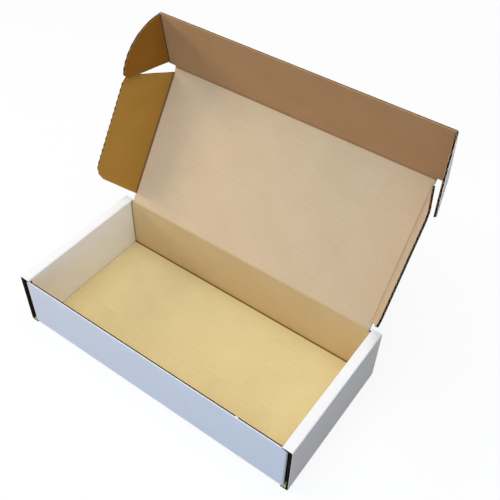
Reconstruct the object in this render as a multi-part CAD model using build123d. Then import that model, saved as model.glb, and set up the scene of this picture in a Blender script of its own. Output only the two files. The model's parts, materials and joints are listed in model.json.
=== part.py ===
from build123d import *

import math
import os

# Corrugated mailer box: one die-cut sheet folded into a tray with a hinged lid.
# The tray stands on z = 0 with its middle at the origin, its front towards -Y
# and its length along X. Millimetres and degrees.

# Tray, outside sizes
box_length = 320.0
box_depth = 151.0
box_height = 65.0

# Board: two liners on a fluted medium, flutes along X in the flat sheet
board = 2.5
liner = 0.3
medium = 0.3
flute_pitch = 6.5
flute_mouth = 5.0
flute_crest = 1.0
flute_land = 5.0
cut_groove = 1.2

# Folds
fold_radius = 2.0
roll_radius = 1.4
crease_gap = 0.3
layer_gap = 0.15

# Front and rear walls with their corner tabs
front_setback = 0.5
front_tab_length = 60.0
rear_tab_length = 44.0

# Rolled side walls, with locking tabs through slots in the bottom
ear_slot_play = 0.6
inner_end_play = 1.2
inner_foot_play = 0.5
lock_tab_width = 34.0
lock_tab_spacing = 74.0
lock_slot_play = 0.4
lock_tab_lift = 0.3

# Lid
lid_open_angle = 122.6
lid_side_play = 0.6
tuck_standoff = 1.6

# Tuck flap along the front of the lid
tuck_fold_angle = 42.0
tuck_floor_play = 1.75

# Ears at the ends of the tuck flap
left_ear_angle = 80.0
right_ear_angle = 75.5
ear_root = 3.0
ear_slope_angle = 12.0
ear_tip_radius = 7.0
ear_floor_play = 0.75

# Dust flaps along the sides of the lid
left_dust_angle = 62.0
right_dust_angle = 71.5
dust_floor_play = 8.0
dust_rear_start = 9.5
dust_front_play = 0.5
dust_rear_angle = 12.5
dust_front_angle = 18.0
dust_rear_radius = 16.0
dust_front_radius = 13.0
dust_lip_cut = 1.0

# Worked out: faces across the length, from the outside in
half_board = board / 2
x_outside = box_length / 2
x_slot = x_outside - board
x_tab = x_slot - (board + ear_slot_play)
x_inner_back = x_tab - board - layer_gap
x_inner = x_inner_back - board
x_rear_tab = x_slot - layer_gap
x_dust_axis = x_inner - lid_side_play - half_board
x_ear_axis = (x_slot + x_tab) / 2

# Worked out: faces along the depth and up the height
y_front = -box_depth / 2
y_rear = box_depth / 2
y_front_wall = y_front + front_setback
z_roll = box_height - board
z_wall_foot = board + layer_gap
z_wall_top = z_roll - layer_gap
z_inner_foot = board + inner_foot_play
y_hinge = y_rear - half_board
z_hinge = box_height - half_board

# Worked out: the lid and its flaps, measured from their fold lines
panel_start = half_board + crease_gap
lid_depth = y_hinge - y_front + half_board + tuck_standoff
tuck_height = z_hinge - tuck_floor_play
ear_radius = z_hinge - board - ear_floor_play
dust_width = box_height - 2 * board - dust_floor_play
dust_front_end = y_hinge - y_front_wall - board - dust_front_play


def tangent(angle):
    """Rise for each unit of run at an angle in degrees."""
    return math.tan(math.radians(angle))


def polygon(*points):
    """Closed flat face through the points."""
    return make_face(Polyline(*points, close=True))


def block(low, high):
    """Box between two opposite corners."""
    middle = [(a + b) / 2 for a, b in zip(low, high)]
    size = [b - a for a, b in zip(low, high)]
    return Pos(*middle) * Box(*size)


def round_corner(face, point, radius):
    """The face with its corner nearest to the point rounded."""
    return fillet(face.vertices().sort_by_distance(point)[0], radius)


def bead(start, end):
    """Round edge of one board's thickness, centred on a fold line."""
    axis = Vector(*end) - Vector(*start)
    return extrude(Plane(start, z_dir=axis) * Circle(half_board), axis.length)


def both_sides(solid):
    """The solid and its mirror image across the length of the box."""
    return solid + mirror(solid, about=Plane.YZ)


def side_walls():
    """Bottom with each side turned up, rolled over a top strip and down again."""
    profile = polygon(
        (0, 0), (x_outside, 0), (x_outside, box_height), (x_inner, box_height),
        (x_inner, z_inner_foot), (x_inner_back, z_inner_foot), (x_inner_back, z_roll),
        (x_slot, z_roll), (x_slot, board), (0, board),
    )
    profile = round_corner(profile, (x_outside, 0), fold_radius)
    profile = round_corner(profile, (x_outside, box_height), roll_radius)
    profile = round_corner(profile, (x_inner, box_height), roll_radius)
    walls = extrude(Plane.XZ * profile, box_depth / 2, both=True)

    # The inner panel stops short of the front and rear walls
    front_room = y_front_wall + board + inner_end_play
    rear_room = y_rear - board - inner_end_play
    low_x = x_inner - layer_gap
    high_x = x_inner_back + layer_gap
    walls -= block((low_x, y_front, board), (high_x, front_room, z_roll))
    walls -= block((low_x, rear_room, board), (high_x, y_rear, z_roll))

    # Locking tabs stand in slots through the bottom
    for middle in (-lock_tab_spacing / 2, lock_tab_spacing / 2):
        half_slot = lock_tab_width / 2 + lock_slot_play
        walls -= block(
            (x_inner - lock_slot_play, middle - half_slot, 0),
            (x_inner_back + lock_slot_play, middle + half_slot, board),
        )
        walls += block(
            (x_inner, middle - lock_tab_width / 2, lock_tab_lift),
            (x_inner_back, middle + lock_tab_width / 2, z_inner_foot),
        )

    # Open flute along the front cut of the outer panel and of the top strip
    groove_end = y_front + cut_groove
    walls -= block((x_slot + liner, y_front, board), (x_outside - liner, groove_end, z_roll))
    walls -= block(
        (x_inner_back, y_front, z_roll + liner),
        (x_slot, groove_end, box_height - liner),
    )
    return both_sides(walls)


def wall_with_tabs(y_face, inwards, half_width, tab_length):
    """Upright wall whose ends turn back into corner tabs, a U seen from above."""
    y_back = y_face + inwards * tab_length
    y_wall = y_face + inwards * board
    inside = half_width - board
    outline = polygon(
        (-half_width, y_face), (half_width, y_face), (half_width, y_back), (inside, y_back),
        (inside, y_wall), (-inside, y_wall), (-inside, y_back), (-half_width, y_back),
    )
    for side in (-half_width, half_width):
        outline = round_corner(outline, (side, y_face), fold_radius)
    return extrude(Plane.XY.offset(z_wall_foot) * outline, z_wall_top - z_wall_foot)


def fold_up(y_face, inwards, half_width, top):
    """Strip of the bottom that turns up into a wall round a rounded fold."""
    y_wall = y_face + inwards * board
    y_stub = y_face + inwards * 2 * board
    profile = polygon(
        (y_face, 0), (y_face, top), (y_wall, top), (y_wall, board), (y_stub, board), (y_stub, 0),
    )
    profile = round_corner(profile, (y_face, 0), fold_radius)
    return extrude(Plane.YZ * profile, half_width, both=True)


def make_tray():
    """Bottom, rolled sides, front wall, and rear wall with the bead that the lid turns on."""
    tray = side_walls()
    for y_face, inwards, half_width, tab_length in (
        (y_front_wall, 1, x_tab, front_tab_length),
        (y_rear, -1, x_rear_tab, rear_tab_length),
    ):
        fold_end = half_width - board
        y_cut = y_face - inwards * board
        y_stub = y_face + inwards * 2 * board
        tray -= block(
            (-fold_end, min(y_cut, y_stub), 0), (fold_end, max(y_cut, y_stub), board)
        )
        tray += fold_up(y_face, inwards, fold_end, z_wall_top)
        tray += wall_with_tabs(y_face, inwards, half_width, tab_length)

    # Bottom corners beside the front wall, trimmed back level with it
    for side in (-1, 1):
        inner_end = side * (x_tab - board)
        outer_end = side * x_slot
        tray -= block(
            (min(inner_end, outer_end), y_front, 0),
            (max(inner_end, outer_end), y_front_wall, board),
        )

    # Open flute along the top cut of the front wall
    tray -= block(
        (-x_tab + fold_radius, y_front_wall + liner, z_wall_top - cut_groove),
        (x_tab - fold_radius, y_front_wall + board - liner, z_wall_top),
    )

    # Rear wall between the side strips, up to the lid's fold line
    tray += block((-x_dust_axis, y_rear - board, board), (x_dust_axis, y_rear, z_hinge))
    tray += bead((-x_dust_axis, y_hinge, z_hinge), (x_dust_axis, y_hinge, z_hinge))
    return tray


def make_lid():
    """Flat lid from its rear fold line to the tuck flap's, with round folded edges."""
    lid = block(
        (-x_dust_axis, panel_start, -half_board), (x_dust_axis, lid_depth, half_board)
    )
    lid += bead((-x_dust_axis, lid_depth, 0), (x_dust_axis, lid_depth, 0))
    for side in (-x_dust_axis, x_dust_axis):
        lid += bead((side, dust_rear_start, 0), (side, dust_front_end, 0))
    return lid


def make_tuck():
    """Tuck flap with round ends where the ears fold, and an open flute along its cut."""
    tuck = block(
        (-x_ear_axis, panel_start, -half_board), (x_ear_axis, tuck_height, half_board)
    )
    for side in (-x_ear_axis, x_ear_axis):
        tuck += bead((side, ear_root, 0), (side, ear_radius, 0))
    tuck -= block(
        (-x_ear_axis, tuck_height - cut_groove, liner - half_board),
        (x_ear_axis, tuck_height, half_board - liner),
    )
    return tuck


def flutes(low, high, reach):
    """Open flutes between two places along a flap, run out past its cut edge."""
    crown = half_board - liner
    valley = crown - medium
    cells = []
    first = math.ceil((low + flute_mouth / 2) / (flute_pitch / 2))
    last = math.floor((high - flute_mouth / 2) / (flute_pitch / 2))
    for count in range(first, last + 1):
        middle = count * flute_pitch / 2
        turn = 1 if count % 2 else -1
        cell = polygon(
            (middle - flute_mouth / 2, turn * crown), (middle + flute_mouth / 2, turn * crown),
            (middle + flute_crest / 2, -turn * valley), (middle - flute_crest / 2, -turn * valley),
        )
        cells.append(extrude(Plane.YZ.offset(flute_land) * cell, reach - flute_land))
    return cells


def make_ear():
    """Ear that swings on the tuck flap's end: an arc about the flap's corner, round tip."""
    run = 1 + tangent(ear_slope_angle) ** 2
    half_middle = ear_root * tangent(ear_slope_angle)
    rest = ear_root ** 2 - ear_radius ** 2
    tip_x = (math.sqrt(half_middle ** 2 - run * rest) - half_middle) / run
    tip = (tip_x, ear_root + tip_x * tangent(ear_slope_angle))
    low = (panel_start, ear_root + panel_start * tangent(ear_slope_angle))
    top = (panel_start, math.sqrt(ear_radius ** 2 - panel_start ** 2))
    arc = RadiusArc(tip, top, -ear_radius)
    outline = make_face([Line(low, tip), arc, Line(top, low)])
    outline = round_corner(outline, tip, ear_tip_radius)
    ear = extrude(outline, half_board, both=True)
    low_flute = tip[1] + ear_tip_radius / 2
    high_flute = ear_radius - ear_tip_radius
    for cell in flutes(low_flute, high_flute, ear_radius):
        ear -= cell
    return ear


def make_dust_flap():
    """Tapered flap that goes down inside the side wall, its inner lip cut back at the fold."""
    rear = (panel_start, dust_rear_start + panel_start * tangent(dust_rear_angle))
    rear_tip = (dust_width, dust_rear_start + dust_width * tangent(dust_rear_angle))
    front_tip = (dust_width, dust_front_end - dust_width * tangent(dust_front_angle))
    front = (panel_start, dust_front_end - panel_start * tangent(dust_front_angle))
    outline = polygon(rear, rear_tip, front_tip, front)
    outline = round_corner(outline, rear_tip, dust_rear_radius)
    outline = round_corner(outline, front_tip, dust_front_radius)
    flap = extrude(outline, half_board, both=True)
    lip = polygon((panel_start, 0), (panel_start + dust_lip_cut, half_board), (panel_start, half_board))
    flap -= extrude(Plane.XZ * lip, -lid_depth)
    for cell in flutes(rear_tip[1], front_tip[1], dust_width + flute_pitch):
        flap -= cell
    return flap


def fold_frame(origin, angle):
    """Frame of a panel beyond a fold line across the length, folded towards its inside."""
    turn = math.radians(angle)
    return Plane(origin, x_dir=(1, 0, 0), z_dir=(0, -math.sin(turn), math.cos(turn))).location


def side_frame(side, offset, angle):
    """Frame of a flap on the left (-1) or right (1) edge of a panel, folded inwards."""
    turn = math.radians(angle)
    x_dir = (math.cos(turn), 0, side * math.sin(turn))
    z_dir = (-side * math.sin(turn), 0, math.cos(turn))
    return Plane((side * offset, 0, 0), x_dir=x_dir, z_dir=z_dir).location


# Places of the folded panels
turn_back = math.radians(lid_open_angle)
lid_frame = Plane(
    (0, y_hinge, z_hinge),
    x_dir=(1, 0, 0),
    z_dir=(0, -math.sin(turn_back), -math.cos(turn_back)),
).location
tuck_frame = lid_frame * fold_frame((0, lid_depth, 0), tuck_fold_angle)
left_dust_frame = lid_frame * side_frame(-1, x_dust_axis, left_dust_angle)
right_dust_frame = lid_frame * side_frame(1, x_dust_axis, right_dust_angle)
left_ear_frame = tuck_frame * side_frame(-1, x_ear_axis, left_ear_angle)
right_ear_frame = tuck_frame * side_frame(1, x_ear_axis, right_ear_angle)

dust_flap = make_dust_flap()
ear = make_ear()

nodes = {
    "tray": make_tray(),
    "lid": lid_frame * make_lid(),
    "tuck_flap": tuck_frame * make_tuck(),
    "left_dust_flap": left_dust_frame * mirror(dust_flap, about=Plane.YZ),
    "right_dust_flap": right_dust_frame * dust_flap,
    "left_ear": left_ear_frame * mirror(ear, about=Plane.YZ),
    "right_ear": right_ear_frame * ear,
}

os.makedirs("parts", exist_ok=True)
for name, solid in nodes.items():
    export_step(solid, f"parts/{name}.step")
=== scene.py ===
import json
import logging
import math
from abc import ABC, abstractmethod
from dataclasses import dataclass, field
from enum import Enum, IntEnum, auto
from typing import Any, Callable, ClassVar, Optional, Sequence

import bpy
from bpy.types import ID, Material, Node, NodeSocket, NodeTree, Object, World
from mathutils import Matrix, Vector

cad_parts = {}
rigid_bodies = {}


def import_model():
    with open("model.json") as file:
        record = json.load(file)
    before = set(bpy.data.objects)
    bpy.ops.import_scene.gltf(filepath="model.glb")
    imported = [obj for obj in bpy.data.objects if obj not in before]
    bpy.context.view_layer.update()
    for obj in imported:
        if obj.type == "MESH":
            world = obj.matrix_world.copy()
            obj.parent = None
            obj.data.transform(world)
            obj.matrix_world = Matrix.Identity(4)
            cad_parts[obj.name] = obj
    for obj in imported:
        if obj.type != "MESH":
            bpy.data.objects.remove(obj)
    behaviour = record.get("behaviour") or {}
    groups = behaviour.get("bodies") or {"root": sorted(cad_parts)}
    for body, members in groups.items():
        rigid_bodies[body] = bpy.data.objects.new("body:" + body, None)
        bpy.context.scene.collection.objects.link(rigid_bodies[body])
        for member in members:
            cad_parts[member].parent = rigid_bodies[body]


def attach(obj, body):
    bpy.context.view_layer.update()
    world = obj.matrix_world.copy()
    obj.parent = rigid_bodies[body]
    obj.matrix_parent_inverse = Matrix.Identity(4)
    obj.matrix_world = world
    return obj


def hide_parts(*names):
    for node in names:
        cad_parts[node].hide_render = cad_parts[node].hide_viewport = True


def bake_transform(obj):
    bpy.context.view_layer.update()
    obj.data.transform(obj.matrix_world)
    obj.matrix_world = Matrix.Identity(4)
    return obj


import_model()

# Corrugated mailer box: two paper liners glued to a fluted medium, folded up from one sheet.
# Panels are built from those three layers, with the medium wherever a cut would show it.
# Sizes are in millimetres, as in the part's source, and turn to metres where a mesh is made.

MM = 0.001
SHEET_ATTRIBUTE = "sheet"
PLAIN_WHITE = "#FFFFFF"
LEAST_RUN = 1e-9
# Between these values a pattern turns from no mark to its full mark
CLOUD_RANGE = (0.3, 0.7)
BAND_RANGE = (-1.0, 1.0)
GRAIN_RANGE = (0.35, 0.75)
FLECK_RANGE = (0.68, 0.8)
# A mix node's sockets for colours, whose names its other kinds of mix share
MIX_FROM = 6
MIX_TO = 7
MIXED = 2

Point = tuple[float, float]
Path = list[Point]
# Lines of a panel's white and kraft face at each row, and how far out a panel reaches there
Lines = Callable[[float], tuple[Path, Path]]
Reach = Callable[[float], float]
log = logging.getLogger("mailer_box")


class Side(IntEnum):
    """The left or right half of the box, seen from the front."""

    LEFT = -1
    RIGHT = 1


class Skin(IntEnum):
    """What a face of a panel shows, as the place of its finish on the mesh."""

    WHITE = 0
    KRAFT = 1
    CORE = 2
    CUT = 3
    SCORE = 4
    WALL = 5
    ROLL = 6


class Layer(Enum):
    """The three papers that the board is glued up from."""

    WHITE_LINER = auto()
    MEDIUM = auto()
    KRAFT_LINER = auto()


class Stock(Enum):
    """Places on the box whose kraft liner gets a tone of its own: lit and shaded copies of one liner,
    painted light and shade.
    """

    TRAY = auto()
    LID = auto()
    TUCK = auto()
    LEFT_DUST = auto()
    RIGHT_DUST = auto()
    EAR = auto()
    HINGE_SCORE = auto()
    TUCK_SCORE = auto()
    LEFT_DUST_SCORE = auto()
    RIGHT_DUST_SCORE = auto()
    EAR_SCORE = auto()


Finishes = dict[Skin, Material]


def linear(hex_colour: str) -> tuple[float, float, float, float]:
    """Linear red, green and blue, and an alpha of 1, of an sRGB hex value after a hash mark."""
    digits = hex_colour.lstrip("#")
    channels = []
    for start in (0, 2, 4):
        value = int(digits[start:start + 2], 16) / 255
        channels.append(value / 12.92 if value <= 0.04045 else ((value + 0.055) / 1.055) ** 2.4)
    return (channels[0], channels[1], channels[2], 1.0)


def add_node(
    tree: NodeTree,
    kind: str,
    settings: Optional[dict[Any, Any]] = None,
    links: Optional[dict[Any, NodeSocket]] = None,
) -> Node:
    """Add one node with its settings and links.

    Args:
        tree: The node tree that takes the node.
        kind: Blender's name for it, after ShaderNode.
        settings: Values by input name or number, or by the name of the node's own property.
        links: Sockets of other nodes by input name or number.

    Returns:
        The new node.
    """
    node = tree.nodes.new(f"ShaderNode{kind}")
    for key, value in (settings or {}).items():
        if isinstance(key, str) and key not in node.inputs:
            setattr(node, key, value)
        else:
            node.inputs[key].default_value = value
    for key, socket in (links or {}).items():
        tree.links.new(socket, node.inputs[key])
    return node


def empty_tree(owner: Material | World) -> NodeTree:
    """Node tree of a material or world, with nothing in it yet."""
    owner.use_nodes = True
    owner.node_tree.nodes.clear()
    return owner.node_tree


def end_tree(tree: NodeTree, lit: Node, shown: Node, kind: str) -> None:
    """End a tree that has one shader for what is seen of it and one for all other light.

    Args:
        tree: The node tree.
        lit: Shader for the light that it gives to the box.
        shown: Shader for the camera, a reflection or glass.
        kind: Blender's name for the output node, after ShaderNode.
    """
    path = add_node(tree, "LightPath")
    seen = path.outputs["Is Camera Ray"]
    for ray in ("Is Glossy Ray", "Is Transmission Ray"):
        either = add_node(tree, "Math", {"operation": "MAXIMUM"}, {0: seen, 1: path.outputs[ray]})
        seen = either.outputs[0]
    mix = add_node(tree, "MixShader", links={0: seen, 1: lit.outputs[0], 2: shown.outputs[0]})
    add_node(tree, kind, links={"Surface": mix.outputs[0]})


def add_object(name: str, data: ID) -> Object:
    """New object that shows some data in the scene."""
    made = bpy.data.objects.new(name, data)
    bpy.context.scene.collection.objects.link(made)
    return made


@dataclass(frozen=True)
class PaperFinish:
    """Paper of one colour, with the marks that papermaking and gluing leave on it.

    The paper is matte and a little uneven. It has soft clouds where fibres lie thicker, fine
    fibre grain, a few dark flecks, and faint bands where the flutes behind it are glued.
    """

    name: str
    colour: str
    cloud_colour: str
    fleck_colour: str
    roughness: float
    cloud_share: float = 0.35
    band_share: float = 0.07
    fleck_share: float = 0.5
    grain_share: float = 0.25
    grain_height_mm: float = 0.05
    grain_strength: float = 0.5
    cloud_size_mm: float = 38.0
    # Real fibres are about 0.03 mm wide and 2 mm long, drawn coarser here so that they show
    fibre_width_mm: float = 0.5
    fibre_length_mm: float = 2.4
    fleck_size_mm: float = 1.6
    flute_pitch_mm: float = 6.5
    ior: float = 1.47
    specular: float = 0.25

    def material(self) -> Material:
        """Build the paper as a material that follows the flat sheet's own coordinates."""
        paper = bpy.data.materials.new(self.name)
        tree = empty_tree(paper)
        sheet = add_node(
            tree, "Attribute",
            {"attribute_type": "GEOMETRY", "attribute_name": SHEET_ATTRIBUTE},
        )
        place = sheet.outputs["Vector"]
        stretch = (1 / (self.fibre_width_mm * MM), 1 / (self.fibre_length_mm * MM), 1.0)
        fibre_place = add_node(tree, "VectorMath", {"operation": "MULTIPLY", 1: stretch}, {0: place})
        across = add_node(tree, "SeparateXYZ", links={0: place})
        turns = add_node(
            tree, "Math", {"operation": "MULTIPLY", 1: 2 * math.pi / (self.flute_pitch_mm * MM)},
            {0: across.outputs["Y"]},
        )
        band = add_node(tree, "Math", {"operation": "COSINE"}, {0: turns.outputs[0]})
        noises = []
        for scale, detail, roughness, vector in (
            (1 / (self.cloud_size_mm * MM), 4.0, 0.6, place),
            (1.0, 3.0, 0.65, fibre_place.outputs[0]),
            (1 / (self.fleck_size_mm * MM), 1.0, 0.5, place),
        ):
            noise = add_node(
                tree, "TexNoise", {"Scale": scale, "Detail": detail, "Roughness": roughness},
                {"Vector": vector},
            )
            noises.append(noise.outputs[0])
        clouds, fibres, flecks = noises
        masks = []
        for pattern, (low, high), share in (
            (clouds, CLOUD_RANGE, self.cloud_share),
            (band.outputs[0], BAND_RANGE, self.band_share),
            (fibres, GRAIN_RANGE, self.grain_share),
            (flecks, FLECK_RANGE, self.fleck_share),
        ):
            mask = add_node(
                tree, "MapRange", {"From Min": low, "From Max": high, "To Max": share},
                {"Value": pattern},
            )
            masks.append(mask.outputs[0])
        dark, band_mask, grain_mask, fleck_mask = masks
        for mask in (band_mask, grain_mask):
            both = add_node(tree, "Math", {"operation": "ADD", "use_clamp": True}, {0: dark, 1: mask})
            dark = both.outputs[0]
        tinted = add_node(
            tree, "Mix",
            {"data_type": "RGBA", MIX_FROM: linear(self.colour), MIX_TO: linear(self.cloud_colour)},
            {0: dark},
        )
        flecked = add_node(
            tree, "Mix", {"data_type": "RGBA", MIX_TO: linear(self.fleck_colour)},
            {0: fleck_mask, MIX_FROM: tinted.outputs[MIXED]},
        )
        bump = add_node(
            tree, "Bump",
            {"Strength": self.grain_strength, "Distance": self.grain_height_mm * MM},
            {"Height": fibres},
        )
        shader = add_node(
            tree, "BsdfPrincipled",
            {"Roughness": self.roughness, "IOR": self.ior, "Specular IOR Level": self.specular},
            {"Base Color": flecked.outputs[MIXED], "Normal": bump.outputs[0]},
        )
        add_node(tree, "OutputMaterial", links={"Surface": shader.outputs[0]})
        return paper


# Rough paper that no flute is glued to hardly shines and shows no bands
ROUGH = {"roughness": 0.95, "band_share": 0.0, "specular": 0.1}
# Papers that every piece of board shares, by what they are seen as
SHARED_PAPERS = {
    # White-top liner: bleached pulp on the face, calendered smooth; reads as a clean, matte white
    Skin.WHITE: PaperFinish(
        "white_top_kraft_liner", "#FAF9F8", "#EDECEA", "#CFC8BD", 0.62,
        cloud_share=0.3, band_share=0.08, fleck_share=0.12, grain_share=0.15,
        grain_height_mm=0.02, specular=0.35,
    ),
    # Fluting medium: recycled pulp, unsized and rough; painted near black as the shade inside the
    # flutes, so that a cut reads as dark dashes
    Skin.CORE: PaperFinish("fluting_medium", "#24160A", "#1A0F06", "#100802", **ROUGH),
    # Cut paper: the torn fibre along a knife line; reads as a pale rim round each dark flute
    Skin.CUT: PaperFinish("cut_paper_rim", "#C4A274", "#B08C5C", "#8A6232", **ROUGH),
    # Scored fold of the tray: the liner is pressed into the board, and its brown adds painted shade
    # of the inside corner; reads as a thin brown line
    Skin.SCORE: PaperFinish(
        "kraft_tray_score", "#8E6A30", "#7C5A26", "#5A3A18", 0.9, band_share=0.0
    ),
    # Front and rear walls: the bottom's unbleached kraft liner, painted browner as shade on the
    # upright faces; reads as a matte tan, browner than the bottom
    Skin.WALL: PaperFinish("kraft_liner_wall", "#D9BC88", "#C9AA74", "#8A6232", 0.85),
    # Liner inside the rolled walls, where hardly any light comes: painted shade, near black, so that
    # the slots read dark
    Skin.ROLL: PaperFinish(
        "kraft_liner_in_roll", "#3A2416", "#2E1A0E", "#1C1006", 0.95, specular=0.1
    ),
}
# Cut rims of the tray: crushed fibre, darkened with painted shade from the board beside them; reads
# as a dull brown
SHADED_TRAY_CUT = PaperFinish("cut_paper_rim_tray", "#6E5030", "#5C4024", "#4A3014", **ROUGH)
# Unbleached kraft liner: brown softwood pulp; reads as a warm, matte tan with visible fibre.
# Each place gets a lit or a shaded copy of the one liner, as painted light and shade: darker on
# the tuck, the left dust flap and the ears, which lie in shade, paler on the right dust flap.
# Along a score the fibres are crushed into a groove, and painted crease shade makes it a thin,
# darker line, darkest at the ears.
KRAFT_LINER = {
    stock: PaperFinish(f"kraft_{name}", colour, clouds, flecks, roughness)
    for stock, name, colour, clouds, flecks, roughness in (
        (Stock.TRAY, "liner_tray", "#E6D6A2", "#D6C18A", "#8A6232", 0.85),
        (Stock.LID, "liner_lid", "#DDC49F", "#CDB189", "#8A6232", 0.85),
        (Stock.TUCK, "liner_tuck", "#BE9264", "#AE8052", "#6E4A22", 0.85),
        (Stock.LEFT_DUST, "liner_left_dust_flap", "#B8893A", "#A4752A", "#6E4A22", 0.85),
        (Stock.RIGHT_DUST, "liner_right_dust_flap", "#DAC6AC", "#CAB396", "#8A6232", 0.85),
        (Stock.EAR, "liner_ear", "#9E6A1E", "#8C5814", "#6E4A22", 0.85),
        (Stock.HINGE_SCORE, "hinge_score", "#D6BA8A", "#C6AA78", "#6E4A22", 0.9),
        (Stock.TUCK_SCORE, "tuck_score", "#AC845C", "#9A744C", "#6E4A22", 0.9),
        (Stock.LEFT_DUST_SCORE, "left_dust_flap_score", "#8A6434", "#765428", "#5A3A18", 0.9),
        (Stock.RIGHT_DUST_SCORE, "right_dust_flap_score", "#C2A380", "#B29370", "#8A6232", 0.9),
        (Stock.EAR_SCORE, "ear_score", "#4E2E12", "#40240C", "#2A1608", 0.9),
    )
}


def board_finishes() -> dict[Stock, Finishes]:
    """Make every paper once and sort the materials by the place that shows them."""
    shared = {skin: paper.material() for skin, paper in SHARED_PAPERS.items()}
    papers = {
        stock: {**shared, Skin.KRAFT: paper.material()} for stock, paper in KRAFT_LINER.items()
    }
    # The tray's cut rims take the darker rim, with painted shade
    papers[Stock.TRAY][Skin.CUT] = SHADED_TRAY_CUT.material()
    return papers


@dataclass(frozen=True)
class Board:
    """B-flute board: its papers, its flutes, and how far a liner sinks between flute tips."""

    thickness: float = 2.5
    liner: float = 0.26
    medium: float = 0.24
    pitch: float = 6.5
    dip: float = 0.07
    edge_dip: float = 0.7
    press_reach: float = 0.8
    press_share: float = 0.55
    score_depth: float = 0.55
    score_reach: float = 1.2
    rows_per_pitch: int = 12
    liner_share: int = 2

    def rows(self, start: float, end: float, share: int = 1) -> list[float]:
        """Places across the flutes from start to end, both among them, at one row in a share."""
        step = self.pitch / self.rows_per_pitch * share
        first = math.floor(start / step) + 1
        last = math.ceil(end / step) - 1
        margin = step / 4
        inner = [count * step for count in range(first, last + 1)]
        return [start, *[p for p in inner if start + margin < p < end - margin], end]

    def shares(self, layer: Layer, place: float, press: float = 0.0) -> tuple[float, float]:
        """Where a layer lies between the white face (0) and the kraft face (1).

        Args:
            layer: Which of the three papers.
            place: Place across the flutes.
            press: How far the liners are pressed together there, from 0 to 1.

        Returns:
            The layer's two faces, the one nearer to the white face first.
        """
        turn = 2 * math.pi * place / self.pitch
        wave = math.cos(turn)
        deepest = self.thickness / 2 - self.liner
        if layer is not Layer.MEDIUM:
            kraft_up = layer is Layer.KRAFT_LINER
            sunk = self.dip * (1 - wave if kraft_up else 1 + wave) / 2
            sunk += (deepest - sunk) * press
            outer = sunk / self.thickness
            inner = (sunk + self.liner) / self.thickness
            return (1 - inner, 1 - outer) if kraft_up else (outer, inner)
        swing = self.thickness / 2 - self.liner - self.medium / 2
        slope = 2 * math.pi * swing / self.pitch * math.sin(turn)
        middle = 0.5 + swing * wave / self.thickness
        half = self.medium * math.hypot(1, slope) / 2 / self.thickness
        return middle - half, middle + half


BOARD = Board()
LINERS = (Layer.WHITE_LINER, Layer.KRAFT_LINER)
ALL_LAYERS = (Layer.WHITE_LINER, Layer.MEDIUM, Layer.KRAFT_LINER)


def rounded(corners: Sequence[Point], radii: Sequence[float], steps: int = 6) -> Path:
    """Line through the corners with an arc at each inner one.

    Args:
        corners: The line's corners in order.
        radii: A radius for each inner corner.
        steps: Runs in each arc.

    Returns:
        The line's points, the same number for the same number of corners.
    """
    path: Path = [corners[0]]
    for before, corner, after, radius in zip(corners, corners[1:], corners[2:], radii):
        here = Vector(corner)
        back = (Vector(before) - here).normalized()
        on = (Vector(after) - here).normalized()
        half_angle = back.angle(on) / 2
        reach = radius / math.tan(half_angle)
        centre = here + (back + on).normalized() * radius / math.sin(half_angle)
        first = here + back * reach - centre
        last = here + on * reach - centre
        sweep = first.angle_signed(last)
        for step in range(steps + 1):
            spoke = Matrix.Rotation(-sweep * step / steps, 2) @ first
            path.append(tuple(centre + spoke))
    path.append(corners[-1])
    return path


def lengths(path: Path, start: float) -> list[float]:
    """Distance along a line at each of its points, counted on from a start value."""
    places = [start]
    for here, there in zip(path, path[1:]):
        places.append(places[-1] + math.dist(here, there))
    return places


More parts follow.
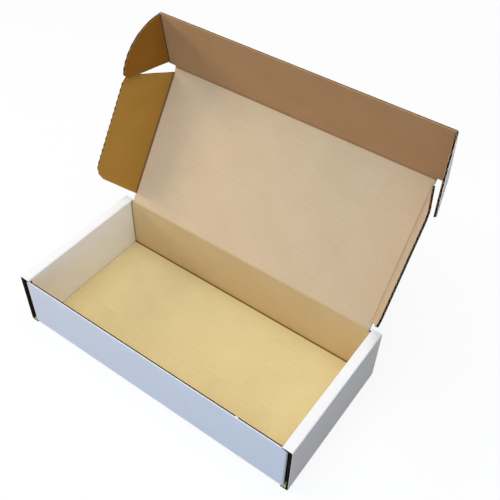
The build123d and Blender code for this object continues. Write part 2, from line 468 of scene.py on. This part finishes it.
@dataclass
class BoardMesh:
    """Mesh of one folded piece of board, gathered panel by panel."""

    name: str
    points: list[Vector] = field(default_factory=list)
    flats: list[Vector] = field(default_factory=list)
    faces: list[tuple[int, ...]] = field(default_factory=list)
    skins: list[int] = field(default_factory=list)

    def loft(
        self,
        rings: Sequence[Sequence[Vector]],
        flats: Sequence[Sequence[Vector]],
        skin: Skin,
        ends: tuple[bool, bool] = (True, True),
        flip: bool = False,
        in_roll: range = range(0),
    ) -> None:
        """Add a sheet of paper through rows of points.

        Args:
            rings: For each row, the shown face's points and then the back's in reverse.
            flats: The same points' places on the flat sheet.
            skin: What the shown face shows; the back is bare paper painted near black as shade inside
                the board, and the rim is cut paper.
            ends: Whether the first and the last row are closed.
            flip: Whether the rows are mirrored, so that faces turn the other way.
            in_roll: Runs of each row that are rolled up inside a side wall; they show near black
                painted shade.
        """
        base = len(self.points)
        count = len(rings[0])
        half = count // 2
        rim = Skin.WHITE if skin is Skin.WHITE else Skin.CUT
        for ring, flat in zip(rings, flats):
            self.points.extend(ring)
            self.flats.extend(flat)
        faces: list[tuple[tuple[int, ...], int]] = []
        for row in range(len(rings) - 1):
            low = base + row * count
            high = low + count
            for edge in range(count):
                after = (edge + 1) % count
                # Backs of the papers and the medium show near black painted shade; runs rolled up
                # inside a side wall show the painted slot shade
                shown = skin if edge < half - 1 else Skin.CORE
                if edge in (half - 1, count - 1):
                    shown = rim
                elif edge in in_roll:
                    shown = Skin.ROLL
                faces.append(((low + edge, low + after, high + after, high + edge), shown))
        for row, closed, turned in ((0, ends[0], True), (len(rings) - 1, ends[1], False)):
            low = base + row * count
            for edge in range(half - 1 if closed else 0):
                quad = (low + edge, low + edge + 1, low + count - 2 - edge, low + count - 1 - edge)
                faces.append((quad[::-1] if turned else quad, rim))
        for face, shown in faces:
            self.faces.append(face[::-1] if flip else face)
            self.skins.append(int(shown))

    def make(self, finishes: Finishes, smooth_deg: float = 35.0) -> Object:
        """Turn what was gathered into an object; folds sharper than smooth_deg stay crisp."""
        mesh = bpy.data.meshes.new(self.name)
        mesh.from_pydata([p * MM for p in self.points], [], self.faces)
        mesh.polygons.foreach_set("material_index", self.skins)
        places = mesh.attributes.new(SHEET_ATTRIBUTE, "FLOAT_VECTOR", "POINT")
        places.data.foreach_set("vector", [c * MM for flat in self.flats for c in flat])
        for skin in Skin:
            mesh.materials.append(finishes[skin])
        mesh.shade_smooth()
        mesh.set_sharp_from_angle(angle=math.radians(smooth_deg))
        mesh.validate()
        piece = add_object(self.name, mesh)
        log.info("%s: %d faces", self.name, len(mesh.polygons))
        return piece


@dataclass
class Panel:
    """A stretch of board whose flutes run along one line and whose rows step across them.

    The line is given twice, once on the white face and once on the kraft face. Its points are
    (a, b) in the panel's own frame, and rows step along w; the frame takes (a, w, b) to the box.
    """

    lines: Lines
    place: Matrix
    rows: tuple[float, float]
    along: float = 0.0
    across: float = 0.0
    share: int = 1
    layers: tuple[Layer, ...] = ALL_LAYERS
    ends: tuple[bool, bool] = (True, True)
    inside: Skin = Skin.KRAFT
    in_roll: dict[Layer, range] = field(default_factory=dict)
    pressed_from: float = math.inf

    def add_to(self, mesh: BoardMesh) -> None:
        """Add the panel's layers to a mesh."""
        flip = self.place.determinant() < 0
        for layer in self.layers:
            last = self.rows[1]
            if layer is Layer.MEDIUM:
                last = min(last, self.pressed_from)
            rows = BOARD.rows(self.rows[0], last, self.share)
            kraft_up = layer is Layer.KRAFT_LINER
            skin = self.inside if kraft_up else Skin.CORE
            if layer is Layer.WHITE_LINER:
                skin = Skin.WHITE
            rings = []
            flats = []
            for w in rows:
                white, kraft = self.lines(w)
                pressed = max(0.0, w - self.pressed_from) / BOARD.press_reach
                near, far = BOARD.shares(layer, w + self.across, pressed * BOARD.press_share)
                shown, back = (far, near) if kraft_up else (near, far)
                lines = []
                for share in (shown, back):
                    lines.append([
                        (p[0] + (q[0] - p[0]) * share, p[1] + (q[1] - p[1]) * share)
                        for p, q in zip(white, kraft)
                    ])
                ring = lines[0] + lines[1][::-1]
                rings.append([self.place @ Vector((a, w, b)) for a, b in ring])
                reach = lengths(lines[0], self.along)
                flats.append([
                    Vector((u, w + self.across, 0)) for u in reach + reach[::-1]
                ])
            rolled = self.in_roll.get(layer, range(0))
            mesh.loft(rings, flats, skin, self.ends, flip != kraft_up, rolled)


@dataclass(frozen=True)
class BoxSizes:
    """Sizes of the folded box, worked out from the same few as in the part's source."""

    length: float = 320.0
    depth: float = 151.0
    height: float = 65.0
    board: float = BOARD.thickness
    fold_radius: float = 2.0
    roll_radius: float = 1.4
    inside_radius: float = 0.25
    crease_gap: float = 0.3
    crease_lap: float = 0.01
    layer_gap: float = 0.15
    front_setback: float = 0.5
    ear_slot_play: float = 0.6
    inner_end_play: float = 1.2
    inner_foot_play: float = 0.5
    lid_open_deg: float = 122.6
    lid_side_play: float = 0.6
    tuck_standoff: float = 1.6
    tuck_fold_deg: float = 42.0
    tuck_floor_play: float = 1.75
    ear_floor_play: float = 0.75
    ear_root: float = 3.0
    dust_floor_play: float = 8.0
    dust_front_play: float = 0.5
    dust_rear: float = 9.5
    # Faces across the length, from the outside in
    x_outside: float = length / 2
    x_slot: float = x_outside - board
    x_rear_tab: float = x_slot - layer_gap
    x_tab: float = x_slot - (board + ear_slot_play)
    x_inner_back: float = x_tab - board - layer_gap
    x_inner: float = x_inner_back - board
    x_dust_axis: float = x_inner - lid_side_play - board / 2
    x_ear_axis: float = (x_slot + x_tab) / 2
    # Faces along the depth and up the height
    y_front: float = -depth / 2
    y_front_wall: float = y_front + front_setback
    y_rear: float = depth / 2
    y_hinge: float = y_rear - board / 2
    z_hinge: float = height - board / 2
    z_roll: float = height - board
    z_wall_top: float = z_roll - layer_gap
    z_wall_foot: float = board + layer_gap
    z_inner_foot: float = board + inner_foot_play
    # The lid and its flaps, measured from their fold lines
    panel_start: float = board / 2 + crease_gap
    lid_depth: float = y_hinge - y_front + board / 2 + tuck_standoff
    tuck_height: float = z_hinge - tuck_floor_play
    ear_radius: float = z_hinge - board - ear_floor_play
    dust_width: float = height - 2 * board - dust_floor_play
    dust_front: float = y_hinge - y_front_wall - board - dust_front_play


BOX = BoxSizes()
# Frames of panels whose rows step up the height, and along the length
UPRIGHT = Matrix(((1, 0, 0, 0), (0, 0, 1, 0), (0, 1, 0, 0), (0, 0, 0, 1)))
ACROSS = Matrix(((0, 1, 0, 0), (1, 0, 0, 0), (0, 0, 1, 0), (0, 0, 0, 1)))


def mirrored(side: Side) -> Matrix:
    """Matrix that puts a piece of the right half on the given side."""
    return Matrix.Diagonal((float(side), 1.0, 1.0, 1.0))


def fixed(white: Path, kraft: Path) -> Lines:
    """Lines that are the same at every row of a panel."""
    return lambda place: (white, kraft)


@dataclass(frozen=True)
class Nick:
    """A scrap of white liner that is torn up and folded over a free edge."""

    middle: float
    width: float
    inset: float = 0.05
    cover: float = 0.55

    def add_to(self, mesh: BoardMesh, edge: float, board_middle: float) -> None:
        """Add the scrap at the height of an edge, over the board's middle along the depth."""
        high = edge - self.inset
        low = high - BOARD.thickness
        start = self.middle + self.width / 2
        end = self.middle - self.width / 2
        rows = (board_middle - self.cover, board_middle + self.cover)
        lines = fixed([(start, high), (end, high)], [(start, low), (end, low)])
        Panel(lines, Matrix.Identity(4), rows, layers=(Layer.WHITE_LINER,)).add_to(mesh)


@dataclass(frozen=True)
class Wall:
    """Front or rear wall with its corner tabs and its scored fold from the bottom.

    The wall's white face stands at a place along the depth, and the tray's inside lies towards
    +Y (inwards 1) or -Y (inwards -1). A free top is pressed by the knife that cut it.
    """

    face: float
    inwards: float
    half_width: float
    tab: float
    top: float
    free_top: bool
    fold_reach: float
    nicks: tuple[Nick, ...] = ()
    score_width: float = 1.9
    fold_rows: int = 96

    def add_to(self, mesh: BoardMesh) -> None:
        """Add the wall, both corner tabs and the fold to a mesh."""
        board = BOARD.thickness
        back = self.face + self.inwards * board
        tab_end = self.face + self.inwards * self.tab
        reach = self.face + self.inwards * self.fold_reach
        score = back + self.inwards * self.score_width
        inner = self.half_width - board
        foot = BOX.z_wall_foot
        small = BOX.inside_radius
        upright = []
        turn = []
        flat = []
        for face, half, low, tab_radius, fold_radius in (
            (self.face, self.half_width, 0.0, BOX.fold_radius, BOX.fold_radius),
            (back, inner, board, small, small / 2),
        ):
            upright.append(rounded([(0.0, face), (half, face), (half, tab_end)], [tab_radius]))
            turn.append(rounded([(score, low), (face, low), (face, foot)], [fold_radius]))
            flat.append([(reach, low), (score, low)])
        # The corner tab's run lies inside the rolled side, and both its liners take the near black
        # painted shade of the slot
        tab_run = range(len(upright[0]) - 2, len(upright[0]) - 1)
        pressed_from = self.top - BOARD.press_reach if self.free_top else math.inf
        # The wall's kraft face takes the liner's browner copy, painted shade
        for side in Side:
            place = mirrored(side) @ UPRIGHT
            Panel(
                fixed(*upright), place, (foot, self.top), share=BOARD.liner_share, layers=LINERS,
                ends=(False, True), inside=Skin.WALL, in_roll=dict.fromkeys(LINERS, tab_run),
                pressed_from=pressed_from,
            ).add_to(mesh)
            Panel(
                fixed(*upright), place, (self.top - BOARD.pitch, self.top),
                layers=(Layer.MEDIUM,), pressed_from=pressed_from,
            ).add_to(mesh)
        # The fold's kraft face takes the score's brown: crushed fibre with painted shade of the
        # inside corner
        for lines, inside in ((flat, Skin.KRAFT), (turn, Skin.SCORE)):
            Panel(
                fixed(*lines), ACROSS, (-inner, inner), share=self.fold_rows, layers=LINERS,
                inside=inside,
            ).add_to(mesh)
        for nick in self.nicks:
            nick.add_to(mesh, self.top, (self.face + back) / 2)


@dataclass
class Tray:
    """Bottom, rolled side walls with locking tabs, and front and rear walls with corner tabs."""

    front_tab: float = 60.0
    rear_tab: float = 44.0
    lock_tab_width: float = 34.0
    lock_tab_spacing: float = 74.0
    lock_slot_play: float = 0.4
    lock_tab_lift: float = 0.3
    fold_reach: float = 5.0
    strip_end: float = BOX.z_roll - BOX.crease_gap

    def side_lines(self, foot: float, inner_end: float) -> Lines:
        """White and kraft lines from an inner panel's foot over the roll to the bottom's end."""
        small = BOX.inside_radius
        faces = (
            (BOX.x_inner, BOX.height, BOX.x_outside, 0.0, BOX.roll_radius, BOX.fold_radius),
            (BOX.x_inner_back, BOX.z_roll, BOX.x_slot, BOARD.thickness, small, small),
        )
        return fixed(*[
            rounded(
                [(inner, foot), (inner, top), (outer, top), (outer, low), (inner_end, low)],
                [roll, roll, fold],
            )
            for inner, top, outer, low, roll, fold in faces
        ])

    def tab_spans(self, play: float = 0.0) -> list[Point]:
        """Extents of both locking tabs along the depth, with a play beyond each end."""
        half = self.lock_tab_width / 2 + play
        apart = self.lock_tab_spacing / 2
        return [(middle - half, middle + half) for middle in (-apart, apart)]

    def add_sides(self, mesh: BoardMesh) -> None:
        """Add both rolled sides and the bottom, row of panels by row of panels."""
        board = BOARD.thickness
        front_fold = BOX.y_front_wall + self.fold_reach
        rear_fold = BOX.y_rear - self.fold_reach
        front_room = BOX.y_front_wall + board + BOX.inner_end_play
        rear_room = BOX.y_rear - board - BOX.inner_end_play
        front_end = BOX.x_tab - board
        rear_end = BOX.x_rear_tab - board
        slot_out = BOX.x_inner_back + self.lock_slot_play
        slot_in = BOX.x_inner - self.lock_slot_play
        slots = self.tab_spans(self.lock_slot_play)
        foot = BOX.z_inner_foot
        # From where to where, how low the inner panel comes and where the bottom ends
        stretches = [
            (BOX.y_front, front_room, self.strip_end, front_end),
            (front_room, front_fold, foot, front_end),
        ]
        clear_from = front_fold
        for slot, tab in zip(slots, self.tab_spans()):
            stretches += [
                (clear_from, slot[0], foot, 0.0),
                (slot[0], tab[0], foot, slot_out),
                (*tab, self.lock_tab_lift, slot_out),
                (tab[1], slot[1], foot, slot_out),
            ]
            clear_from = slot[1]
        stretches += [
            (clear_from, rear_fold, foot, 0.0),
            (rear_fold, rear_room, foot, rear_end),
            (rear_room, BOX.y_rear, self.strip_end, rear_end),
        ]
        last = len(stretches) - 1
        past_slot = fixed([(slot_in, 0.0), (0.0, 0.0)], [(slot_in, board), (0.0, board)])
        for side in Side:
            place = mirrored(side)
            for count, (start, end, low, inner_end) in enumerate(stretches):
                lines = self.side_lines(low, inner_end)
                runs = len(lines(start)[1]) - 1
                # Kraft liner rolled up inside the side wall, all but the bottom's run, shows near
                # black painted shade
                Panel(
                    lines, place, (start, end), share=BOARD.liner_share, layers=LINERS,
                    ends=(count == 0, count == last), in_roll={Layer.KRAFT_LINER: range(runs - 1)},
                ).add_to(mesh)
            for slot in slots:
                Panel(
                    past_slot, place, slot, share=BOARD.liner_share, layers=LINERS,
                    ends=(False, False),
                ).add_to(mesh)
            self.add_side_flutes(mesh, place)

    def add_side_flutes(self, mesh: BoardMesh, place: Matrix) -> None:
        """Add the medium where a cut of one side shows it: both ends and the locking tabs."""
        low = self.lock_tab_lift
        high = low + BOARD.pitch
        front_lines = self.side_lines(self.strip_end, BOX.x_tab - BOARD.thickness)
        rear_lines = self.side_lines(self.strip_end, BOX.x_rear_tab - BOARD.thickness)
        tab_lines = fixed(
            [(BOX.x_inner, low), (BOX.x_inner, high)],
            [(BOX.x_inner_back, low), (BOX.x_inner_back, high)],
        )
        for lines, rows in (
            (front_lines, (BOX.y_front, BOX.y_front + BOARD.pitch)),
            (rear_lines, (BOX.y_rear - BOARD.pitch, BOX.y_rear)),
            *[(tab_lines, tab) for tab in self.tab_spans()],
        ):
            Panel(lines, place, rows, layers=(Layer.MEDIUM,)).add_to(mesh)

    def make(self, finishes: Finishes) -> None:
        """Build the tray and let it stand for its solid."""
        mesh = BoardMesh("tray_board")
        self.add_sides(mesh)
        hinge_foot = BOX.z_hinge - BOX.panel_start
        for wall in (
            Wall(
                BOX.y_front_wall, 1.0, BOX.x_tab, self.front_tab, BOX.z_wall_top,
                free_top=True, fold_reach=self.fold_reach, nicks=(Nick(middle=102.5, width=3.0),),
            ),
            Wall(
                BOX.y_rear, -1.0, BOX.x_rear_tab, self.rear_tab, hinge_foot,
                free_top=False, fold_reach=self.fold_reach,
            ),
        ):
            wall.add_to(mesh)
        place_piece(mesh.make(finishes), "tray")


def place_piece(piece: Object, node: str) -> None:
    """Let a finished piece ride on a body and stand for its solid."""
    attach(piece, node)
    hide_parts(node)


def lid_frame() -> Matrix:
    """Frame of the open lid: X along the hinge, Y up the lid, Z out of its kraft face."""
    turn = math.radians(BOX.lid_open_deg)
    up = Vector((0, -math.cos(turn), math.sin(turn)))
    inside = Vector((0, -math.sin(turn), -math.cos(turn)))
    rows = Matrix((Vector((1, 0, 0)), up, inside)).transposed().to_4x4()
    return Matrix.Translation((0, BOX.y_hinge, BOX.z_hinge)) @ rows


LID_FRAME = lid_frame()
TO_TUCK_FOLD = Matrix.Translation((0, BOX.lid_depth, 0))
TUCK_FRAME = LID_FRAME @ (TO_TUCK_FOLD @ Matrix.Rotation(math.radians(BOX.tuck_fold_deg), 4, "X"))


@dataclass
class FlatPanel:
    """A flat panel of three layers in its own frame, cut to a width that changes along it."""

    node: str
    place: Matrix
    rows: tuple[float, float]
    start: Reach
    end: Reach
    across: float = 0.0
    along: float = 0.0
    edge_dip: float = 0.0
    pressed_from: float = math.inf
    scored: tuple[bool, bool] = (False, False)

    def lines(self, place: float) -> tuple[Path, Path]:
        """Lines of the white and the kraft face at one place along the fold.

        A knife crushes each liner where no flute holds it, and a score sinks the kraft face.
        """
        half = BOARD.thickness / 2
        low = self.start(place)
        high = self.end(place)
        wave = math.cos(2 * math.pi * (place + self.across) / BOARD.pitch)
        white_end = high - self.edge_dip * (1 + wave) / 2
        kraft_end = high - self.edge_dip * (1 - wave) / 2
        bends = [low]
        if self.scored[0]:
            bends.append(min(low + BOARD.score_reach, white_end, kraft_end))
        if self.scored[1]:
            bends.append(high - BOARD.score_reach)
        white = [(bend, -half) for bend in [*bends, white_end]]
        kraft = [(bend, half - self.sunk(bend, low, high)) for bend in [*bends, kraft_end]]
        return white, kraft

    def sunk(self, out: float, low: float, high: float) -> float:
        """How deep a score sinks the kraft face at a place between a row's two ends."""
        share = 0.0
        if self.scored[0]:
            share = max(share, 1 - (out - low) / BOARD.score_reach)
        if self.scored[1]:
            share = max(share, 1 - (high - out) / BOARD.score_reach)
        return BOARD.score_depth * share

    def make(self, finishes: Finishes) -> None:
        """Build the panel and let it stand for its solid."""
        mesh = BoardMesh(f"{self.node}_board")
        Panel(
            self.lines, self.place, self.rows, self.along, self.across,
            pressed_from=self.pressed_from,
        ).add_to(mesh)
        place_piece(mesh.make(finishes), self.node)


def follow(outline: Path) -> Reach:
    """How far out a flap reaches at each place along its fold, from an outline (out, along)."""
    def reach(place: float) -> float:
        """Distance out from the fold at one place."""
        for (out_a, at_a), (out_b, at_b) in zip(outline, outline[1:]):
            if at_a <= place <= at_b:
                part = (place - at_a) / max(at_b - at_a, LEAST_RUN)
                return out_a + (out_b - out_a) * part
        return outline[-1][0]
    return reach


@dataclass
class Crease:
    """Liners that bend across one fold line between two panels.

    Both frames have X out into their panel, Y along the fold and Z out of the kraft face.
    """

    name: str
    parent: str
    child: str
    parent_frame: Matrix
    child_frame: Matrix
    extent: tuple[float, float]
    child_extent: tuple[float, float]
    score_depth: float = 0.0
    steps: int = 12
    waist_power: int = 4

    def make(self, finishes: Finishes) -> None:
        """Build the white and the kraft strip of the fold from a material for each skin."""
        self.make_strip(Skin.WHITE, -1.0, finishes)
        self.make_strip(Skin.KRAFT, 1.0, finishes)

    def make_strip(self, skin: Skin, up: float, finishes: Finishes) -> None:
        """Build one strip, which bends from the parent's edge round the fold line to the child's.

        Args:
            skin: What the strip shows.
            up: 1 on the kraft face, -1 on the white face.
            finishes: A material for each skin.
        """
        half = BOARD.thickness / 2 - (self.score_depth if skin is Skin.KRAFT else 0.0)
        axis = self.parent_frame.translation
        along = self.parent_frame.col[1].xyz
        into = self.parent_frame.col[0].xyz
        normal = self.parent_frame.col[2].xyz * up
        out = self.child_frame.col[0].xyz
        first = into * BOX.panel_start + normal * half
        last = out * BOX.panel_start + self.child_frame.col[2].xyz * up * half
        angles = [math.atan2(-p.dot(into), p.dot(normal)) for p in (first, last)]
        fold = angles[1] - angles[0] - 2 * math.atan2(BOX.panel_start, half)
        waist = half / math.cos(fold / 2) if fold < 0 else half
        rings = []
        flats = []
        reach = 2 * BOX.panel_start
        for start, end in zip(self.extent, self.child_extent):
            shown = []
            back = []
            flat = []
            for step in range(self.steps + 1):
                part = step / self.steps
                turn = angles[0] + (angles[1] - angles[0]) * part
                radius = waist + (first.length - waist) * abs(2 * part - 1) ** self.waist_power
                spoke = normal * math.cos(turn) - into * math.sin(turn)
                place = start + (end - start) * part
                shown.append(axis + along * place + spoke * radius)
                back.append(axis + along * place + spoke * (radius - BOARD.liner))
                flat.append(Vector((part * reach, place, 0)))
            rings.append(shown + back[::-1])
            flats.append(flat + flat[::-1])
        mesh = BoardMesh(f"{self.name}_{skin.name.lower()}_liner")
        mesh.loft(rings, flats, skin)
        piece = mesh.make(finishes)
        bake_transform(piece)


@dataclass(frozen=True)
class SideFlap(ABC):
    """A flap that is folded from one side of a panel.

    Each kind of flap says which panel it is on, how far out and from where to where its fold
    lies there, how deep that is scored, and how far its flutes lie from the lid's hinge.
    """

    kind: ClassVar[str]
    parent: ClassVar[str]
    parent_frame: ClassVar[Matrix]
    offset: ClassVar[float]
    fold_ends: ClassVar[Point]
    across: ClassVar[float] = 0.0
    score_depth: ClassVar[float] = 0.0
    side: Side
    fold_deg: float

    @property
    def node(self) -> str:
        """Name of the flap's solid."""
        return f"{self.side.name.lower()}_{self.kind}"

    @abstractmethod
    def outline(self) -> Path:
        """The flap's edge as points (out, along), from one end of its fold to the other."""

    def frame(self) -> Matrix:
        """The flap's frame, with X out from its fold."""
        fold = Matrix.Rotation(-math.radians(self.fold_deg), 4, "Y")
        to_fold = Matrix.Translation((self.offset, 0, 0))
        return self.parent_frame @ (mirrored(self.side) @ (to_fold @ fold))

    def panel(self) -> FlatPanel:
        """The flap as a panel."""
        outline = self.outline()
        return FlatPanel(
            self.node, self.frame(), (outline[0][1], outline[-1][1]),
            lambda place: BOX.panel_start - BOX.crease_lap, follow(outline), self.across,
            self.offset, BOARD.edge_dip, scored=(self.score_depth > 0, False),
        )

    def crease(self) -> Crease:
        """The fold that joins the flap to its panel."""
        outline = self.outline()
        to_fold = Matrix.Translation((self.offset, 0, 0))
        inwards = self.parent_frame @ mirrored(self.side) @ to_fold @ mirrored(Side.LEFT)
        return Crease(
            f"{self.node}_crease", self.parent, self.node, inwards, self.frame(),
            self.fold_ends, (outline[0][1], outline[-1][1]), self.score_depth,
        )


@dataclass(frozen=True)
class DustFlap(SideFlap):
    """Tapered flap on one side of the lid."""

    kind = "dust_flap"
    parent = "lid"
    parent_frame = LID_FRAME
    offset = BOX.x_dust_axis
    fold_ends = (BOX.dust_rear, BOX.dust_front)
    score_depth = BOARD.score_depth
    width: float = BOX.dust_width
    rear_taper_deg: float = 12.5
    front_taper_deg: float = 18.0
    rear_radius: float = 16.0
    front_radius: float = 13.0
    corner_steps: int = 14

    def outline(self) -> Path:
        """Tapered edges with a round corner at the end of each."""
        rear_rise = math.tan(math.radians(self.rear_taper_deg))
        front_rise = math.tan(math.radians(self.front_taper_deg))
        rear, front = self.fold_ends
        start = BOX.panel_start
        corners = [
            (start, rear + start * rear_rise),
            (self.width, rear + self.width * rear_rise),
            (self.width, front - self.width * front_rise),
            (start, front - start * front_rise),
        ]
        return rounded(corners, [self.rear_radius, self.front_radius], self.corner_steps)


@dataclass(frozen=True)
class Ear(SideFlap):
    """Rounded ear on one end of the tuck flap."""

    kind = "ear"
    parent = "tuck_flap"
    parent_frame = TUCK_FRAME
    offset = BOX.x_ear_axis
    fold_ends = (BOX.ear_root, BOX.ear_radius)
    across = BOX.lid_depth
    root: float = BOX.ear_root
    radius: float = BOX.ear_radius
    slope_deg: float = 12.0
    tip_radius: float = 7.0
    tip_steps: int = 12
    arc_steps: int = 40

    def tip_centre(self) -> Point:
        """Centre of the round tip, a tip radius inside both the arc and the lower edge."""
        slope = math.radians(self.slope_deg)
        lift = self.root * math.cos(slope) + self.tip_radius
        run = math.sqrt((self.radius - self.tip_radius) ** 2 - lift ** 2)
        return (
            run * math.cos(slope) - lift * math.sin(slope),
            run * math.sin(slope) + lift * math.cos(slope),
        )

    def outline(self) -> Path:
        """Outline from the fold's lower end round the tip and the arc to its upper end."""
        slope = math.radians(self.slope_deg)
        start = BOX.panel_start
        centre = self.tip_centre()
        arc_from = math.atan2(centre[1], centre[0])
        arc_to = math.acos(start / self.radius)
        path: Path = [(start, self.root + start * math.tan(slope))]
        for step in range(self.tip_steps + 1):
            turn = slope - math.pi / 2 + (arc_from - slope + math.pi / 2) * step / self.tip_steps
            path.append((
                centre[0] + self.tip_radius * math.cos(turn),
                centre[1] + self.tip_radius * math.sin(turn),
            ))
        for step in range(1, self.arc_steps + 1):
            turn = arc_from + (arc_to - arc_from) * step / self.arc_steps
            path.append((self.radius * math.cos(turn), self.radius * math.sin(turn)))
        return path


def stepped(flap: type[SideFlap]) -> Reach:
    """Half width of a panel, which is narrower where a kind of flap is folded from its side."""
    start, end = flap.fold_ends
    return lambda place: flap.offset - (BOX.panel_start if start <= place <= end else 0.0)


@dataclass
class Lid:
    """The lid with its tuck flap, dust flaps and ears, and the creases that join them."""

    # Each flap takes its place's copy of the liner, paler or darker with painted light and shade, and
    # a score tone darkened with painted crease shade
    flaps: tuple[tuple[SideFlap, Stock, Stock], ...] = (
        (DustFlap(Side.LEFT, 62.0), Stock.LEFT_DUST, Stock.LEFT_DUST_SCORE),
        (DustFlap(Side.RIGHT, 71.5), Stock.RIGHT_DUST, Stock.RIGHT_DUST_SCORE),
        (Ear(Side.LEFT, 80.0), Stock.EAR, Stock.EAR_SCORE),
        (Ear(Side.RIGHT, 75.5), Stock.EAR, Stock.EAR_SCORE),
    )

    def make(self, papers: dict[Stock, Finishes]) -> None:
        """Build every panel and crease of the lid from the papers of each place."""
        gap = BOX.panel_start
        lid_half = stepped(DustFlap)
        tuck_half = stepped(Ear)
        FlatPanel(
            "lid", LID_FRAME, (gap, BOX.lid_depth - gap), lambda place: -lid_half(place), lid_half,
            along=-BOX.x_dust_axis, scored=(True, True),
        ).make(papers[Stock.LID])
        FlatPanel(
            "tuck_flap", TUCK_FRAME, (gap, BOX.tuck_height), lambda place: -tuck_half(place),
            tuck_half, across=BOX.lid_depth, along=-BOX.x_ear_axis,
            pressed_from=BOX.tuck_height - BOARD.press_reach,
        ).make(papers[Stock.TUCK])
        for flap, paper, _ in self.flaps:
            flap.panel().make(papers[paper])
        self.make_creases(papers)

    def make_creases(self, papers: dict[Stock, Finishes]) -> None:
        """Build the creases of the lid and its flaps from the papers of each place."""
        wide = (-BOX.x_dust_axis, BOX.x_dust_axis)
        wall = Matrix.Translation((0, BOX.y_hinge, BOX.z_hinge)) @ Matrix(
            ((0, 1, 0, 0), (0, 0, -1, 0), (-1, 0, 0, 0), (0, 0, 0, 1))
        )
        inwards = LID_FRAME @ TO_TUCK_FOLD @ ACROSS @ mirrored(Side.LEFT)
        # The hinge and tuck creases take score tones darkened with painted crease shade
        Crease("lid_crease", "tray", "lid", wall, LID_FRAME @ ACROSS, wide, wide).make(
            papers[Stock.HINGE_SCORE]
        )
        Crease("tuck_crease", "lid", "tuck_flap", inwards, TUCK_FRAME @ ACROSS, wide, wide).make(
            papers[Stock.TUCK_SCORE]
        )
        for flap, _, score in self.flaps:
            flap.crease().make(papers[score])


@dataclass(frozen=True)
class Lamp:
    """A soft square lamp that points at the box."""

    name: str
    place: tuple[float, float, float]
    size: float
    watts: float
    colour: str = PLAIN_WHITE

    def make(self, target: Vector) -> None:
        """Hang the lamp and turn it towards a point."""
        data = bpy.data.lights.new(self.name, "AREA")
        data.shape = "SQUARE"
        data.size = self.size
        data.energy = self.watts
        data.color = linear(self.colour)[:3]
        lamp = add_object(self.name, data)
        lamp.location = self.place
        lamp.rotation_mode = "QUATERNION"
        lamp.rotation_quaternion = (target - Vector(self.place)).to_track_quat("-Z", "Y")


@dataclass
class Studio:
    """Pale floor, soft light and the camera at the photograph's angle."""

    camera_place: tuple[float, float, float] = (0.28743, -0.33592, 0.59384)
    azimuth_deg: float = 34.172
    elevation_deg: float = 45.780
    roll_deg: float = -2.206
    lens_mm: float = 51.76
    sensor_mm: float = 36.0
    clip_start: float = 0.01
    floor_size: float = 8.0
    floor_drop: float = 0.0003
    floor_colour: str = "#6E6E6E"
    world_strength: float = 0.17
    white_share: float = 0.85
    lamp_target: tuple[float, float, float] = (0.0, 0.0, 0.06)
    lamps: tuple[Lamp, ...] = (
        Lamp("key_lamp", (0.0, -0.05, 1.4), 1.6, 15.5),
        Lamp("left_lamp", (-1.2, -0.42, 0.6), 0.4, 6.0, "#FFF4E0"),
        Lamp("front_lamp", (0.2, -1.3, 0.5), 0.8, 9.0, "#B0D0FF"),
        Lamp("right_lamp", (1.4, 0.0, 0.9), 0.8, 1.7),
        Lamp("rear_lamp", (0.2, 1.5, 0.4), 0.8, 5.0),
    )

    def make(self) -> None:
        """Build the whole studio."""
        self.make_world()
        self.make_floor()
        self.make_camera()
        for lamp in self.lamps:
            lamp.make(Vector(self.lamp_target))
        bpy.context.scene.view_settings.view_transform = "Standard"

    def make_world(self) -> None:
        """Even light from all round, and plain white where the camera sees it."""
        world = bpy.data.worlds.new("studio_world")
        tree = empty_tree(world)
        colour = linear(PLAIN_WHITE)
        light = add_node(tree, "Background", {"Strength": self.world_strength, "Color": colour})
        white = add_node(tree, "Background", {"Strength": 1.0, "Color": colour})
        end_tree(tree, light, white, "OutputWorld")
        bpy.context.scene.world = world

    def make_floor(self) -> None:
        """Pale floor that keeps the box's soft shadow and is near white to the camera."""
        half = self.floor_size / 2
        drop = -self.floor_drop
        mesh = bpy.data.meshes.new("studio_floor")
        corners = [(-half, -half, drop), (half, -half, drop), (half, half, drop), (-half, half, drop)]
        mesh.from_pydata(corners, [], [(0, 1, 2, 3)])
        paint = bpy.data.materials.new("matte_paper_backdrop")
        tree = empty_tree(paint)
        colour = linear(PLAIN_WHITE)
        matte = add_node(tree, "BsdfDiffuse", {"Color": linear(self.floor_colour)})
        shown = add_node(tree, "BsdfDiffuse", {"Color": colour})
        glow = add_node(tree, "Emission", {"Strength": 1.0, "Color": colour})
        white = add_node(
            tree, "MixShader", {0: self.white_share},
            {1: shown.outputs[0], 2: glow.outputs[0]},
        )
        end_tree(tree, matte, white, "OutputMaterial")
        mesh.materials.append(paint)
        add_object("studio_floor", mesh)

    def make_camera(self) -> None:
        """Camera where the photograph was taken from."""
        azimuth = math.radians(self.azimuth_deg)
        elevation = math.radians(self.elevation_deg)
        back = Vector((
            math.sin(azimuth) * math.cos(elevation),
            -math.cos(azimuth) * math.cos(elevation),
            math.sin(elevation),
        ))
        data = bpy.data.cameras.new("camera")
        data.sensor_width = self.sensor_mm
        data.lens = self.lens_mm
        data.clip_start = self.clip_start
        camera = add_object("camera", data)
        camera.location = self.camera_place
        camera.rotation_mode = "QUATERNION"
        level = (-back).to_track_quat("-Z", "Y")
        roll = Matrix.Rotation(math.radians(-self.roll_deg), 3, "Z").to_quaternion()
        camera.rotation_quaternion = level @ roll
        bpy.context.scene.camera = camera


def main() -> None:
    """Build the box and its studio."""
    logging.basicConfig(level=logging.INFO, format="%(name)s %(message)s")
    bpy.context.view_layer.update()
    papers = board_finishes()
    Tray().make(papers[Stock.TRAY])
    Lid().make(papers)
    Studio().make()
    bpy.context.view_layer.update()


if __name__ == "__main__":
    main()
